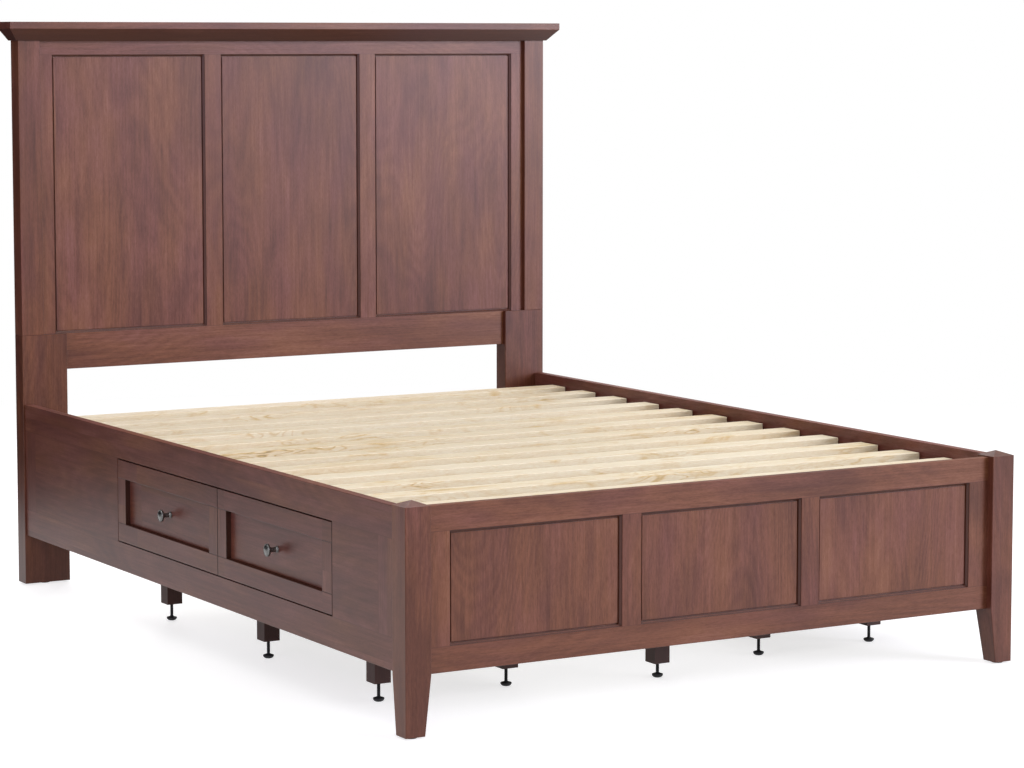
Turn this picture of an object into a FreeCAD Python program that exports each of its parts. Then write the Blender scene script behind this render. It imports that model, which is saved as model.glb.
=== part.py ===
# Platform storage bed: a panelled headboard and footboard, framed side rails with two inset drawers a side,
# twelve slats, and square support legs on threaded levelers.
# Millimetres. +X is the right side seen from the foot, +Y is the head end, +Z is up.
# The origin is on the floor at the middle of the bed's outer box.

import FreeCAD, Part
import os

from FreeCAD import Vector

# Mattress space
inside_width = 1550.0
inside_length = 2083.0
mattress_recess = 25.0

# Feet under the four corner posts
glide_height = 4.0
glide_radius = 13.0

# Headboard
headboard_depth = 52.0
headboard_leg_width = 126.0
headboard_post_width = 62.0
headboard_setback = 13.0
headboard_frame_thickness = 24.0
headboard_stile_width = 37.0
headboard_lower_rail_height = 96.0
headboard_top_rail_height = 37.0
seam_height = 667.0
crown_underside = 1443.0

# Crown over the headboard
crown_height = 49.0
crown_fascia_height = 18.0
crown_reach = 34.0
crown_foot_reach = 6.5

# Footboard
footboard_thickness = 21.0
footboard_post_proud = 18.0
footboard_post_depth = 59.0
footboard_post_width = 61.0
footboard_stile_width = 54.0
footboard_bottom = 130.0
footboard_bottom_rail_height = 55.0
footboard_top_rail_height = 55.0
post_shoulder_above_rail = 3.0
post_peak_height = 11.0
foot_width = 46.5
foot_depth = 44.0

# Panels shared by headboard and footboard
centre_opening_width = 425.0
mullion_width = 48.0
panel_thickness = 8.0
moulding_width = 4.5
moulding_depth = 5.5
moulding_lip = 1.5
moulding_step = 2.5
quirk_width = 3.0
quirk_depth = 4.0

# Joinery of headboard and footboard
panel_groove_depth = 8.0
panel_edge_room = 1.5
tenon_length = 25.0
tenon_shoulder = 6.0
tenon_end_room = 1.0

# Edges broken by the maker's sandpaper
post_edge_radius = 1.5
board_edge_radius = 1.0
slat_edge_radius = 1.5
seam_chamfer = 0.6
rail_corner_radius = 9.0

# Side rails
rail_thickness = 22.0
rail_setback = 4.5
rail_top_height = 484.0
rail_bottom_height = 135.0
rail_board_height = 70.0
rail_stile_width = 70.0
drawer_opening_length = 1167.0
foot_end_panel_length = 210.5

# Slats, ledgers and cross members
slat_count = 12
slat_width = 70.0
slat_thickness = 18.0
slat_end_margin = 109.0
slat_end_clearance = 7.0
ledger_width = 25.0
ledger_height = 28.0
beam_width = 40.0
beam_height = 60.0
cross_rail_thickness = 22.0
cross_rail_setback = 45.0

# Drawer cases
case_board_thickness = 18.0
case_rear_clearance = 32.0
base_rail_width = 40.0
base_rail_height = 40.0
support_outer_inset = 106.5
support_end_inset = 49.5

# Drawers
drawer_gap = 2.5
front_member_width = 46.0
front_panel_recess = 12.0
front_panel_back_gap = 2.0
front_rebate = 8.0
box_board_thickness = 12.0
box_bottom_thickness = 6.0
box_bottom_rise = 10.0
box_rise = 15.0
box_top_drop = 29.0
box_depth = 400.0

# Drawer slides
slide_space = 12.7
slide_wall = 1.5
slide_channel_height = 36.0
slide_play = 0.5
slide_front_setback = 4.0
slide_rear_setback = 6.0

# Knobs
knob_base_radius = 8.0
knob_base_height = 3.0
knob_stem_radius = 5.5
knob_cap_radius = 14.5
knob_cap_rim = 4.0
knob_cap_crown = 3.0
knob_neck_flare = 4.0
knob_projection = 31.0
knob_screw_radius = 2.0
knob_screw_head_radius = 4.5
knob_screw_head_height = 2.5
knob_screw_clearance = 0.2
knob_screw_depth_share = 0.6

# Support legs, threaded inserts and levelers
support_leg_width = 40.0
side_leg_bottom = 43.0
centre_leg_bottom = 35.0
centre_leg_end_distance = 239.0
insert_radius = 6.5
insert_length = 15.0
insert_clearance = 0.1
rod_radius = 4.0
rod_clearance = 0.08
rod_engagement = 40.0
rod_hole_clearance = 0.6
leveler_retract = 30.0
leveler_hole_spare = 4.0
pad_foot_radius = 9.5
pad_radius = 12.8
pad_height = 10.0
pad_bevel_height = 4.5
pad_rim_height = 3.5
pad_hub_radius = 6.0

# Corner brackets and their bolts
bracket_leg = 32.0
bracket_thickness = 3.0
bracket_height = 120.0
bolt_radius = 3.0
bolt_head_radius = 6.0
bolt_head_height = 3.5
bolt_length = 18.0
bolt_hole_clearance = 0.2
bolt_height_shares = (0.22, 0.78)

# One overrun for every cut, and the slant up to which an edge still counts as parallel
overrun = 5.0
parallel_share = 0.02

# Places that follow from the sizes above
overall_length = headboard_depth + inside_length + footboard_thickness + footboard_post_proud
head_y = overall_length / 2 - headboard_depth
head_back_y = overall_length / 2
foot_inner_y = head_y - inside_length
foot_frame_y = foot_inner_y - footboard_thickness
foot_front_y = -overall_length / 2
rail_inner_x = inside_width / 2
rail_outer_x = rail_inner_x + rail_thickness
post_outer_x = rail_outer_x + rail_setback
headboard_post_inner_x = post_outer_x - headboard_post_width
headboard_leg_inner_x = post_outer_x - headboard_leg_width
footboard_post_inner_x = post_outer_x - footboard_post_width
headboard_frame_y = head_y + headboard_setback
mullion_inner_x = centre_opening_width / 2
mullion_outer_x = mullion_inner_x + mullion_width
footboard_top = rail_top_height
footboard_opening_bottom = footboard_bottom + footboard_bottom_rail_height
footboard_opening_top = footboard_top - footboard_top_rail_height
panel_recess = moulding_depth + moulding_step
lower_rail_bottom = seam_height - headboard_lower_rail_height
headboard_opening_top = crown_underside - headboard_top_rail_height
crown_top = crown_underside + crown_height
rail_foot_y = foot_front_y + footboard_post_depth
rail_opening_bottom = rail_bottom_height + rail_board_height
rail_opening_top = rail_top_height - rail_board_height
drawers_foot_y = rail_foot_y + rail_stile_width + foot_end_panel_length
drawers_head_y = drawers_foot_y + drawer_opening_length
drawers_middle_y = (drawers_foot_y + drawers_head_y) / 2
slat_top_height = rail_top_height - mattress_recess
slat_bottom = slat_top_height - slat_thickness
slat_half_length = rail_inner_x - slat_end_clearance
ledger_bottom = slat_bottom - ledger_height
ledger_inner_x = rail_inner_x - ledger_width
cross_rail_y = head_y - cross_rail_setback - cross_rail_thickness
base_rail_top = rail_bottom_height + base_rail_height
case_inner_x = rail_inner_x - box_depth - case_rear_clearance
case_inner_reach = case_inner_x - case_board_thickness
support_row_outer_x = rail_inner_x - support_outer_inset
support_row_inner_x = case_inner_reach + base_rail_width / 2
support_pitch = drawer_opening_length / 2 + case_board_thickness - support_end_inset
front_height = rail_opening_top - rail_opening_bottom - 2 * drawer_gap
front_bottom = rail_opening_bottom + drawer_gap
front_length = (drawer_opening_length - 3 * drawer_gap) / 2
box_bottom = front_bottom + box_rise
box_top = front_bottom + front_height - box_top_drop
box_back_x = rail_inner_x - box_depth
box_half_length = (drawer_opening_length - case_board_thickness) / 4 - slide_space
knob_height = front_bottom + front_height / 2
panel_face_x = rail_outer_x - front_panel_recess
front_panel_thickness = rail_thickness - front_panel_recess - front_panel_back_gap
slide_middle_z = (box_bottom + box_top) / 2
slide_length = box_depth - slide_front_setback - slide_rear_setback
slide_channel_depth = slide_space - slide_wall - slide_play
bracket_bottom = (rail_opening_bottom + rail_opening_top - bracket_height) / 2
centre_leg_places = (head_y - centre_leg_end_distance, foot_inner_y + centre_leg_end_distance)

SIDES = (("left", -1), ("right", 1))
ENDS = (("head", 1), ("foot", -1))


def block(x0, x1, y0, y1, z0, z1):
    """Box between two corners, given in any order along each axis."""
    low = Vector(min(x0, x1), min(y0, y1), min(z0, z1))
    return Part.makeBox(abs(x1 - x0), abs(y1 - y0), abs(z1 - z0), low)


def both_sides(x0, x1, y0, y1, z0, z1):
    """The same box on the right side and mirrored on the left side."""
    return [block(side * x0, side * x1, y0, y1, z0, z1) for _, side in SIDES]


def rod(centre, direction, radius, length):
    """Cylinder that starts at a point and runs along a direction."""
    return Part.makeCylinder(radius, length, centre, direction)


def frustum(lower, upper):
    """Solid between two four-sided outlines, as lists of corners in the same order."""
    wires = [Part.makePolygon(corners + [corners[0]]) for corners in (lower, upper)]
    return Part.makeLoft(wires, True, True)


def turned(profile, centre, direction):
    """Profile of (radius, height) points turned about an axis through centre along direction."""
    points = [Vector(radius, 0, height) for radius, height in profile]
    shape = Part.Face(Part.makePolygon(points + [points[0]])).revolve(Vector(0, 0, 0), Vector(0, 0, 1), 360)
    shape.Placement = FreeCAD.Placement(centre, FreeCAD.Rotation(Vector(0, 0, 1), direction))
    return shape


def runs_along(edge, axis):
    """True where a straight edge is parallel to an axis."""
    run = edge.Vertexes[-1].Point - edge.Vertexes[0].Point
    return run.cross(axis).Length < run.Length * parallel_share


def eased(shape, radius, axis):
    """Shape with its edges along one axis rounded."""
    return shape.makeFillet(radius, [edge for edge in shape.Edges if runs_along(edge, axis)])


def eased_at(shape, radius, axis, side_axis, place):
    """Shape with those edges along one axis rounded that lie at a place on another axis."""
    edges = []
    for edge in shape.Edges:
        at_place = abs(edge.CenterOfMass.dot(side_axis) - place) < radius
        if at_place and runs_along(edge, axis):
            edges.append(edge)
    return shape.makeFillet(radius, edges)


def chamfered_rim(shape, size, height):
    """Shape with the edges of its level face at one height chamfered."""
    rim = []
    for edge in shape.Edges:
        if all(abs(vertex.Z - height) < size / 2 for vertex in edge.Vertexes):
            rim.append(edge)
    return shape.makeChamfer(size, rim)


def cut_by(shape, tools):
    """Shape less those tools that reach into its box."""
    near = [tool for tool in tools if shape.BoundBox.intersect(tool.BoundBox)]
    return shape.cut(near) if near else shape


def tenons(half, y0, y1, z0, z1, room):
    """A tongue beyond each end of a rail, longer by the room left at the bottom of its mortise."""
    end = half + tenon_length + room
    inset = tenon_shoulder
    return both_sides(half, end, y0 + inset, y1 - inset, z0 + inset, z1 - inset)


def tenoned_rail(half, y0, y1, z0, z1):
    """Rail across the bed with a tenon at each end."""
    rail = block(-half, half, y0, y1, z0, z1)
    return rail.fuse(tenons(half, y0, y1, z0, z1, 0))


def rectangle(x0, x1, y0, y1, z):
    """Corners of a level rectangle."""
    return [Vector(x0, y0, z), Vector(x1, y0, z), Vector(x1, y1, z), Vector(x0, y1, z)]


def save(name, solids):
    """Write one node's solids to its own file."""
    shape = solids[0] if len(solids) == 1 else Part.makeCompound(solids)
    shape.exportStep("parts/" + name + ".step")


def bracket_bolt_places():
    """Each corner bracket's bolts, as (start on the wood's face, direction into the wood, what is drilled)."""
    places = []
    reach = bracket_thickness + (bracket_leg - bracket_thickness) / 2
    for _, side in SIDES:
        for _, end in ENDS:
            face_y = head_y if end > 0 else rail_foot_y
            for share in bolt_height_shares:
                z = bracket_bottom + share * bracket_height
                along_rail = Vector(side * rail_inner_x, face_y - end * reach, z)
                along_post = Vector(side * (rail_inner_x - reach), face_y, z)
                places.append((along_rail, Vector(side, 0, 0), "rail"))
                places.append((along_post, Vector(0, end, 0), "post"))
    return places


def drilled(shape, kind):
    """Shape with the bolt holes of one kind that reach into it."""
    box = shape.BoundBox
    box.enlarge(bracket_thickness)
    for start, direction, target in bracket_bolt_places():
        if target == kind and box.isInside(start):
            back = start - direction * overrun
            shape = shape.cut(rod(back, direction, bolt_radius + bolt_hole_clearance, bolt_length + overrun))
    return shape


def make_headboard():
    top = crown_underside
    front = headboard_frame_y
    back = front + headboard_frame_thickness
    half = headboard_post_inner_x
    low_half = headboard_leg_inner_x
    up = Vector(0, 0, 1)

    mortises = tenons(half, front, back, headboard_opening_top, top, tenon_end_room)
    posts = []
    for post in both_sides(half, post_outer_x, head_y, head_back_y, seam_height, top):
        posts.append(cut_by(chamfered_rim(eased(post, post_edge_radius, up), seam_chamfer, seam_height), mortises))
    save("headboard_posts", posts)

    stile_edge = half - headboard_stile_width
    openings = panel_openings(stile_edge)
    grooves = panel_boards(openings, front, seam_height, headboard_opening_top, panel_groove_depth)
    mortises = tenons(low_half, front, back, lower_rail_bottom, seam_height, tenon_end_room)
    legs = []
    for leg in both_sides(low_half, post_outer_x, head_y, head_back_y, glide_height, seam_height):
        leg = chamfered_rim(eased(leg, post_edge_radius, up), seam_chamfer, seam_height)
        legs.append(drilled(cut_by(leg, mortises + grooves), "post"))
    save("headboard_legs", legs)

    top_rail = tenoned_rail(half, front, back, headboard_opening_top, top)
    save("headboard_top_rail", [cut_by(top_rail, grooves)])
    lower_rail = tenoned_rail(low_half, front, back, lower_rail_bottom, seam_height)
    lower_rail = eased_at(lower_rail, board_edge_radius, Vector(1, 0, 0), up, lower_rail_bottom)
    save("headboard_lower_rail", [cut_by(lower_rail, grooves)])

    uprights = both_sides(stile_edge, half, front, back, seam_height, headboard_opening_top)
    uprights += both_sides(mullion_inner_x, mullion_outer_x, front, back, seam_height, headboard_opening_top)
    save("headboard_stiles", [cut_by(upright, grooves) for upright in uprights])
    make_panels("headboard", openings, front, seam_height, headboard_opening_top)


def make_crown():
    """Flat fascia over a sloped underside that returns along both ends, square at the back."""
    foot = crown_foot_reach
    reach = crown_reach
    slope_top = crown_top - crown_fascia_height
    lower = rectangle(-post_outer_x - foot, post_outer_x + foot, head_y - foot, head_back_y, crown_underside)
    upper = rectangle(-post_outer_x - reach, post_outer_x + reach, head_y - reach, head_back_y, slope_top)
    fascia = block(-post_outer_x - reach, post_outer_x + reach, head_y - reach, head_back_y, slope_top, crown_top)
    crown = frustum(lower, upper).fuse(fascia).removeSplitter()
    crown = eased_at(crown, post_edge_radius, Vector(1, 0, 0), Vector(0, 1, 0), head_y - reach)
    save("headboard_crown", [crown])


def panel_openings(stile_edge):
    """Left and right edge of the three openings between outer stiles and mullions."""
    return (
        (-stile_edge, -mullion_outer_x),
        (-mullion_inner_x, mullion_inner_x),
        (mullion_outer_x, stile_edge),
    )


def panel_boards(openings, front, bottom, top, tongue):
    """One thin board behind each opening, reaching past its edges by a tongue."""
    y0 = front + panel_recess
    y1 = y0 + panel_thickness
    return [block(x0 - tongue, x1 + tongue, y0, y1, bottom - tongue, top + tongue) for x0, x1 in openings]


def make_panels(board, openings, front, bottom, top):
    """Three panels in their grooves, each with a quirk round its field, and the mitred strips round each."""
    face = front + panel_recess
    tongue = panel_groove_depth - panel_edge_room
    panels = []
    strips = []
    for opening, panel in zip(openings, panel_boards(openings, front, bottom, top, tongue)):
        panels.append(panel.cut(quirk(*opening, bottom, top, face)))
        strips += mitred_frame(*opening, bottom, top, face)
    save(board + "_panels", panels)
    save(board + "_panel_mouldings", strips)


def quirk(x0, x1, z0, z1, face):
    """Narrow trench in the panel's face that frames its field, just inside the strips."""
    rings = []
    for inset in (moulding_width, moulding_width + quirk_width):
        rings.append(block(x0 + inset, x1 - inset, face - overrun, face + quirk_depth, z0 + inset, z1 - inset))
    outer, inner = rings
    return outer.cut(inner)


def mitred_frame(x0, x1, z0, z1, face):
    """Four bevelled strips along the edges of an opening, seated on the panel's face and mitred at the corners."""
    corners = (Vector(x0, 0, z0), Vector(x1, 0, z0), Vector(x1, 0, z1), Vector(x0, 0, z1))
    middle = Vector((x0 + x1) / 2, 0, (z0 + z1) / 2)
    strips = []
    for index, start in enumerate(corners):
        end = corners[(index + 1) % len(corners)]
        sections = []
        for corner in (start, end):
            into_x = moulding_width if middle.x > corner.x else -moulding_width
            into_z = moulding_width if middle.z > corner.z else -moulding_width
            outer = Vector(corner.x, face, corner.z)
            inner = Vector(corner.x + into_x, face, corner.z + into_z)
            lip = inner - Vector(0, moulding_lip, 0)
            ridge = outer - Vector(0, moulding_depth, 0)
            sections.append(Part.makePolygon([outer, inner, lip, ridge, outer]))
        strips.append(Part.makeLoft(sections, True, True))
    return strips


def make_footboard():
    front = foot_frame_y
    back = foot_inner_y
    half = footboard_post_inner_x
    bottom = footboard_bottom
    low = footboard_opening_bottom
    high = footboard_opening_top
    top = footboard_top
    stile_edge = half - footboard_stile_width
    openings = panel_openings(stile_edge)
    grooves = panel_boards(openings, front, low, high, panel_groove_depth)

    top_rail = tenoned_rail(half, front, back, high, top)
    top_rail = eased_at(top_rail, board_edge_radius, Vector(1, 0, 0), Vector(0, 0, 1), top)
    save("footboard_top_rail", [cut_by(top_rail, grooves)])
    bottom_rail = tenoned_rail(half, front, back, bottom, low)
    bottom_rail = eased_at(bottom_rail, board_edge_radius, Vector(1, 0, 0), Vector(0, 0, 1), bottom)
    save("footboard_bottom_rail", [cut_by(bottom_rail, grooves)])

    uprights = both_sides(stile_edge, half, front, back, low, high)
    uprights += both_sides(mullion_inner_x, mullion_outer_x, front, back, low, high)
    save("footboard_stiles", [cut_by(upright, grooves) for upright in uprights])
    make_panels("footboard", openings, front, low, high)

    mortises = tenons(half, front, back, high, top, tenon_end_room)
    mortises += tenons(half, front, back, bottom, low, tenon_end_room)
    posts = [drilled(cut_by(footboard_post(side), mortises), "post") for _, side in SIDES]
    save("footboard_posts", posts)


def footboard_post(side):
    """Square post with a low pyramid top, and a foot that tapers on its two inner faces."""
    outer = side * post_outer_x
    inner = side * footboard_post_inner_x
    front = foot_front_y
    back = foot_front_y + footboard_post_depth
    shoulder = footboard_top + post_shoulder_above_rail
    shaft = block(outer, inner, front, back, footboard_bottom, shoulder)
    foot_x = side * (post_outer_x - foot_width)
    sole = rectangle(outer, foot_x, front, front + foot_depth, glide_height)
    taper = frustum(sole, rectangle(outer, inner, front, back, footboard_bottom))
    peak = Vector((outer + inner) / 2, (front + back) / 2, shoulder + post_peak_height)
    post = shaft.fuse([taper, pyramid(rectangle(outer, inner, front, back, shoulder), peak)]).removeSplitter()
    return post.makeFillet(post_edge_radius, [edge for edge in post.Edges if is_corner(edge)])


def is_corner(edge):
    """True for the post's upright corners, the straight ones above and the slanting ones of the foot."""
    low, high = sorted(vertex.Z for vertex in edge.Vertexes)
    return high - low > footboard_bottom / 2


def pyramid(base, peak):
    """Solid from a four-sided base to a point."""
    faces = [Part.Face(Part.makePolygon(base + [base[0]]))]
    for index, corner in enumerate(base):
        following = base[(index + 1) % len(base)]
        faces.append(Part.Face(Part.makePolygon([corner, following, peak, corner])))
    solid = Part.makeSolid(Part.makeShell(faces))
    if solid.Volume < 0:
        solid.reverse()
    return solid


def make_side_rails():
    inner = rail_inner_x
    outer = rail_outer_x
    low = rail_bottom_height
    high = rail_top_height
    middle_low = rail_opening_bottom
    middle_high = rail_opening_top
    radius = board_edge_radius
    along = Vector(0, 1, 0)
    up = Vector(0, 0, 1)
    top_boards = []
    for board in both_sides(inner, outer, rail_foot_y, head_y, middle_high, high):
        board = board.makeFillet(rail_corner_radius, [edge for edge in board.Edges if is_head_corner(edge)])
        top_boards.append(eased_at(board, radius, along, up, high))
    save("side_rail_top_boards", top_boards)
    bottom_boards = both_sides(inner, outer, rail_foot_y, head_y, low, middle_low)
    save("side_rail_bottom_boards", [eased_at(board, radius, along, up, low) for board in bottom_boards])
    head_stile_y = head_y - rail_stile_width
    foot_stile_y = rail_foot_y + rail_stile_width
    stiles = both_sides(inner, outer, head_stile_y, head_y, middle_low, middle_high)
    stiles += both_sides(inner, outer, rail_foot_y, foot_stile_y, middle_low, middle_high)
    save("side_rail_stiles", [drilled(stile, "rail") for stile in stiles])
    panels = both_sides(inner, outer, drawers_head_y, head_stile_y, middle_low, middle_high)
    panels += both_sides(inner, outer, foot_stile_y, drawers_foot_y, middle_low, middle_high)
    save("side_rail_end_panels", panels)


def is_head_corner(edge):
    """True for the top edge across a rail's head end."""
    middle = edge.CenterOfMass
    return abs(middle.y - head_y) < rail_corner_radius / 2 and abs(middle.z - rail_top_height) < rail_corner_radius / 2


def make_deck():
    save("slat_ledgers", both_sides(ledger_inner_x, rail_inner_x, rail_foot_y, head_y, ledger_bottom, slat_bottom))
    first = head_y - slat_end_margin - slat_width / 2
    last = foot_inner_y + slat_end_margin + slat_width / 2
    pitch = (first - last) / (slat_count - 1)
    slats = []
    for index in range(slat_count):
        y = first - index * pitch
        half = slat_half_length
        slat = block(-half, half, y - slat_width / 2, y + slat_width / 2, slat_bottom, slat_top_height)
        slats.append(eased(slat, slat_edge_radius, Vector(1, 0, 0)))
    save("mattress_slats", slats)

    beam_bottom = slat_bottom - beam_height
    cross = block(-ledger_inner_x, ledger_inner_x, cross_rail_y, cross_rail_y + cross_rail_thickness,
                  beam_bottom, slat_bottom)
    save("head_cross_rail", [cross])
    save("centre_beam", [block(-beam_width / 2, beam_width / 2, foot_inner_y, cross_rail_y, beam_bottom, slat_bottom)])


def make_drawer_cases():
    board = case_board_thickness
    boards = []
    for y in (drawers_head_y, drawers_middle_y - board / 2, drawers_foot_y - board):
        boards += both_sides(case_inner_x, rail_inner_x, y, y + board, base_rail_top, ledger_bottom)
    save("drawer_case_partitions", boards)
    foot_y = drawers_foot_y - board
    head_end_y = drawers_head_y + board
    backs = both_sides(case_inner_reach, case_inner_x, foot_y, head_end_y, base_rail_top, slat_bottom)
    save("drawer_case_backs", backs)
    rails = []
    for x in (support_row_outer_x, support_row_inner_x):
        x0 = x - base_rail_width / 2
        rails += both_sides(x0, x0 + base_rail_width, foot_y, head_end_y, rail_bottom_height, base_rail_top)
    save("drawer_case_base_rails", rails)


def support_places():
    """Every support leg as (name, x, y, bottom height, top height)."""
    rows = (
        ("left_outer", -support_row_outer_x),
        ("left_inner", -support_row_inner_x),
        ("right_inner", support_row_inner_x),
        ("right_outer", support_row_outer_x),
    )
    steps = (("head", 1), ("middle", 0), ("foot", -1))
    places = []
    for row, x in rows:
        for place, step in steps:
            y = drawers_middle_y + step * support_pitch
            places.append((row + "_" + place, x, y, side_leg_bottom, rail_bottom_height))
    for place, y in zip(("head", "foot"), centre_leg_places):
        places.append(("centre_" + place, 0, y, centre_leg_bottom, slat_bottom - beam_height))
    return places


def make_supports():
    legs = []
    inserts = []
    half = support_leg_width / 2
    up = Vector(0, 0, 1)
    for name, x, y, bottom, top in support_places():
        start = Vector(x, y, bottom)
        below = start - up * overrun
        hole_depth = rod_engagement + leveler_retract + leveler_hole_spare
        leg = block(x - half, x + half, y - half, y + half, bottom, top)
        seat = rod(below, up, insert_radius + insert_clearance, insert_length + overrun)
        bore = rod(below, up, rod_radius + rod_hole_clearance, hole_depth + overrun)
        legs.append(leg.cut([seat, bore]))
        sleeve = rod(start, up, insert_radius, insert_length)
        inserts.append(sleeve.cut(rod(below, up, rod_radius + rod_clearance, insert_length + 2 * overrun)))
        save("leveler_" + name, [leveler(x, y, bottom + rod_engagement)])
    save("support_legs", legs)
    save("leveler_inserts", inserts)


def leveler(x, y, rod_top):
    """Round pad with a bevelled foot on the floor and a threaded rod standing in it."""
    rim_bottom = pad_bevel_height
    rim_top = pad_bevel_height + pad_rim_height
    profile = [
        (0, 0),
        (pad_foot_radius, 0),
        (pad_radius, rim_bottom),
        (pad_radius, rim_top),
        (pad_hub_radius, pad_height),
        (rod_radius, pad_height),
        (rod_radius, rod_top),
        (0, rod_top),
    ]
    return turned(profile, Vector(x, y, 0), Vector(0, 0, 1))


def make_glides():
    places = []
    for _, side in SIDES:
        places.append((side * (post_outer_x - headboard_leg_width / 2), head_y + headboard_depth / 2))
        places.append((side * (post_outer_x - foot_width / 2), foot_front_y + foot_depth / 2))
    save("corner_glides", [rod(Vector(x, y, 0), Vector(0, 0, 1), glide_radius, glide_height) for x, y in places])


def drawer_places():
    """Every drawer as (name, side, middle of its front, middle of its box)."""
    half_front = front_length / 2
    quarter = (drawer_opening_length + case_board_thickness) / 4
    places = []
    for side_name, side in SIDES:
        for end_name, end in ENDS:
            front_y = drawers_middle_y + end * (drawer_gap / 2 + half_front)
            places.append((side_name + "_" + end_name, side, front_y, drawers_middle_y + end * quarter))
    return places


def make_drawers():
    for name, side, front_y, box_y in drawer_places():
        save("drawer_front_" + name, drawer_front(side, front_y))
        save("drawer_box_" + name, drawer_box(side, front_y, box_y))
        save("drawer_knob_" + name, drawer_knob(side, front_y))
        save("drawer_runners_" + name, drawer_runners(side, box_y))


def drawer_front(side, y):
    """Two rails, two stiles between them, and a panel that sits in a rebate behind them."""
    outer = side * rail_outer_x
    inner = side * rail_inner_x
    y0 = y - front_length / 2
    y1 = y + front_length / 2
    low = front_bottom
    high = front_bottom + front_height
    width = front_member_width
    along = Vector(0, 1, 0)
    face_axis = Vector(1, 0, 0)
    members = [
        eased_at(block(outer, inner, y0, y1, low, low + width), board_edge_radius, along, face_axis, outer),
        eased_at(block(outer, inner, y0, y1, high - width, high), board_edge_radius, along, face_axis, outer),
        block(outer, inner, y0, y0 + width, low + width, high - width),
        block(outer, inner, y1 - width, y1, low + width, high - width),
    ]
    face = side * panel_face_x
    back = side * (panel_face_x - front_panel_thickness)
    rebate = block(face, side * (rail_inner_x - overrun), *drawer_panel_edges(y, front_rebate))
    panel = block(face, back, *drawer_panel_edges(y, front_rebate - panel_edge_room))
    return [cut_by(member, [rebate]) for member in members] + [panel.cut(screw_hole(side, y))]


def drawer_panel_edges(y, margin):
    """Ends and heights of a drawer front's opening, widened by a margin all round."""
    half = front_length / 2 - front_member_width + margin
    low = front_bottom + front_member_width - margin
    high = front_bottom + front_height - front_member_width + margin
    return y - half, y + half, low, high


def screw_hole(side, y):
    """Room for the knob's screw through the panel and the box's front board."""
    start = Vector(side * (rail_inner_x - box_board_thickness - overrun), y, knob_height)
    length = panel_face_x - rail_inner_x + box_board_thickness + 2 * overrun
    return rod(start, Vector(side, 0, 0), knob_screw_radius + knob_screw_clearance, length)


def drawer_box(side, front_y, y):
    """Front board, two sides, a back and a bottom panel."""
    wall = box_board_thickness
    front = side * rail_inner_x
    front_back = side * (rail_inner_x - wall)
    rear = side * box_back_x
    rear_front = side * (box_back_x + wall)
    y0 = y - box_half_length
    y1 = y + box_half_length
    low = box_bottom
    high = box_top
    front_board = block(front, front_back, y0, y1, low, high).cut(screw_hole(side, front_y))
    floor_low = low + box_bottom_rise
    return [
        front_board,
        block(front_back, rear, y0, y0 + wall, low, high),
        block(front_back, rear, y1 - wall, y1, low, high),
        block(rear_front, rear, y0 + wall, y1 - wall, low, high),
        block(front_back, rear_front, y0 + wall, y1 - wall, floor_low, floor_low + box_bottom_thickness),
    ]


def drawer_knob(side, y):
    """Mushroom knob with a round base, and the screw that holds it from inside the drawer."""
    top = knob_projection
    rim_top = top - knob_cap_crown
    rim_bottom = rim_top - knob_cap_rim
    flare_bottom = rim_bottom - knob_neck_flare
    crown_step = knob_cap_crown / 2
    profile = [
        (0, 0),
        (knob_base_radius, 0),
        (knob_base_radius, knob_base_height),
        (knob_stem_radius, knob_base_height + knob_neck_flare),
        (knob_stem_radius, flare_bottom),
        (knob_cap_radius, rim_bottom),
        (knob_cap_radius, rim_top),
        ((knob_cap_radius + knob_stem_radius) / 2, rim_top + crown_step),
        (0, top),
    ]
    axis = Vector(side, 0, 0)
    seat = Vector(side * panel_face_x, y, knob_height)
    knob = turned(profile, seat, axis)
    inside_x = rail_inner_x - box_board_thickness
    shank_length = panel_face_x - inside_x + knob_screw_depth_share * knob_projection
    head_start = Vector(side * (inside_x - knob_screw_head_height), y, knob_height)
    inside = Vector(side * inside_x, y, knob_height)
    head = rod(head_start, axis, knob_screw_head_radius, knob_screw_head_height)
    screw = head.fuse(rod(inside, axis, knob_screw_radius, shank_length)).removeSplitter()
    return [knob.cut(rod(inside, axis, knob_screw_radius, shank_length)), screw]


def channel(side, wall_y, facing, depth, height):
    """Slide member of U section: a web on the wall at wall_y and two flanges that face along Y."""
    x0 = side * (rail_inner_x - slide_front_setback)
    x1 = side * (rail_inner_x - slide_front_setback - slide_length)
    z0 = slide_middle_z - height / 2
    z1 = slide_middle_z + height / 2
    outer = block(x0, x1, wall_y, wall_y + facing * depth, z0, z1)
    hollow_start = wall_y + facing * slide_wall
    hollow_end = wall_y + facing * (depth + overrun)
    ahead = side * overrun
    hollow = block(x0 + ahead, x1 - ahead, hollow_start, hollow_end, z0 + slide_wall, z1 - slide_wall)
    return outer.cut(hollow)


def drawer_runners(side, y):
    """The two slide members on the sides of one drawer box."""
    height = slide_channel_height - 2 * (slide_wall + slide_play)
    return [channel(side, y + facing * box_half_length, facing, slide_channel_depth, height) for facing in (-1, 1)]


def make_slide_channels():
    channels = []
    for _, side, _, y in drawer_places():
        for facing in (-1, 1):
            wall_y = y - facing * (box_half_length + slide_space)
            channels.append(channel(side, wall_y, facing, slide_channel_depth, slide_channel_height))
    save("drawer_slide_channels", channels)


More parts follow.
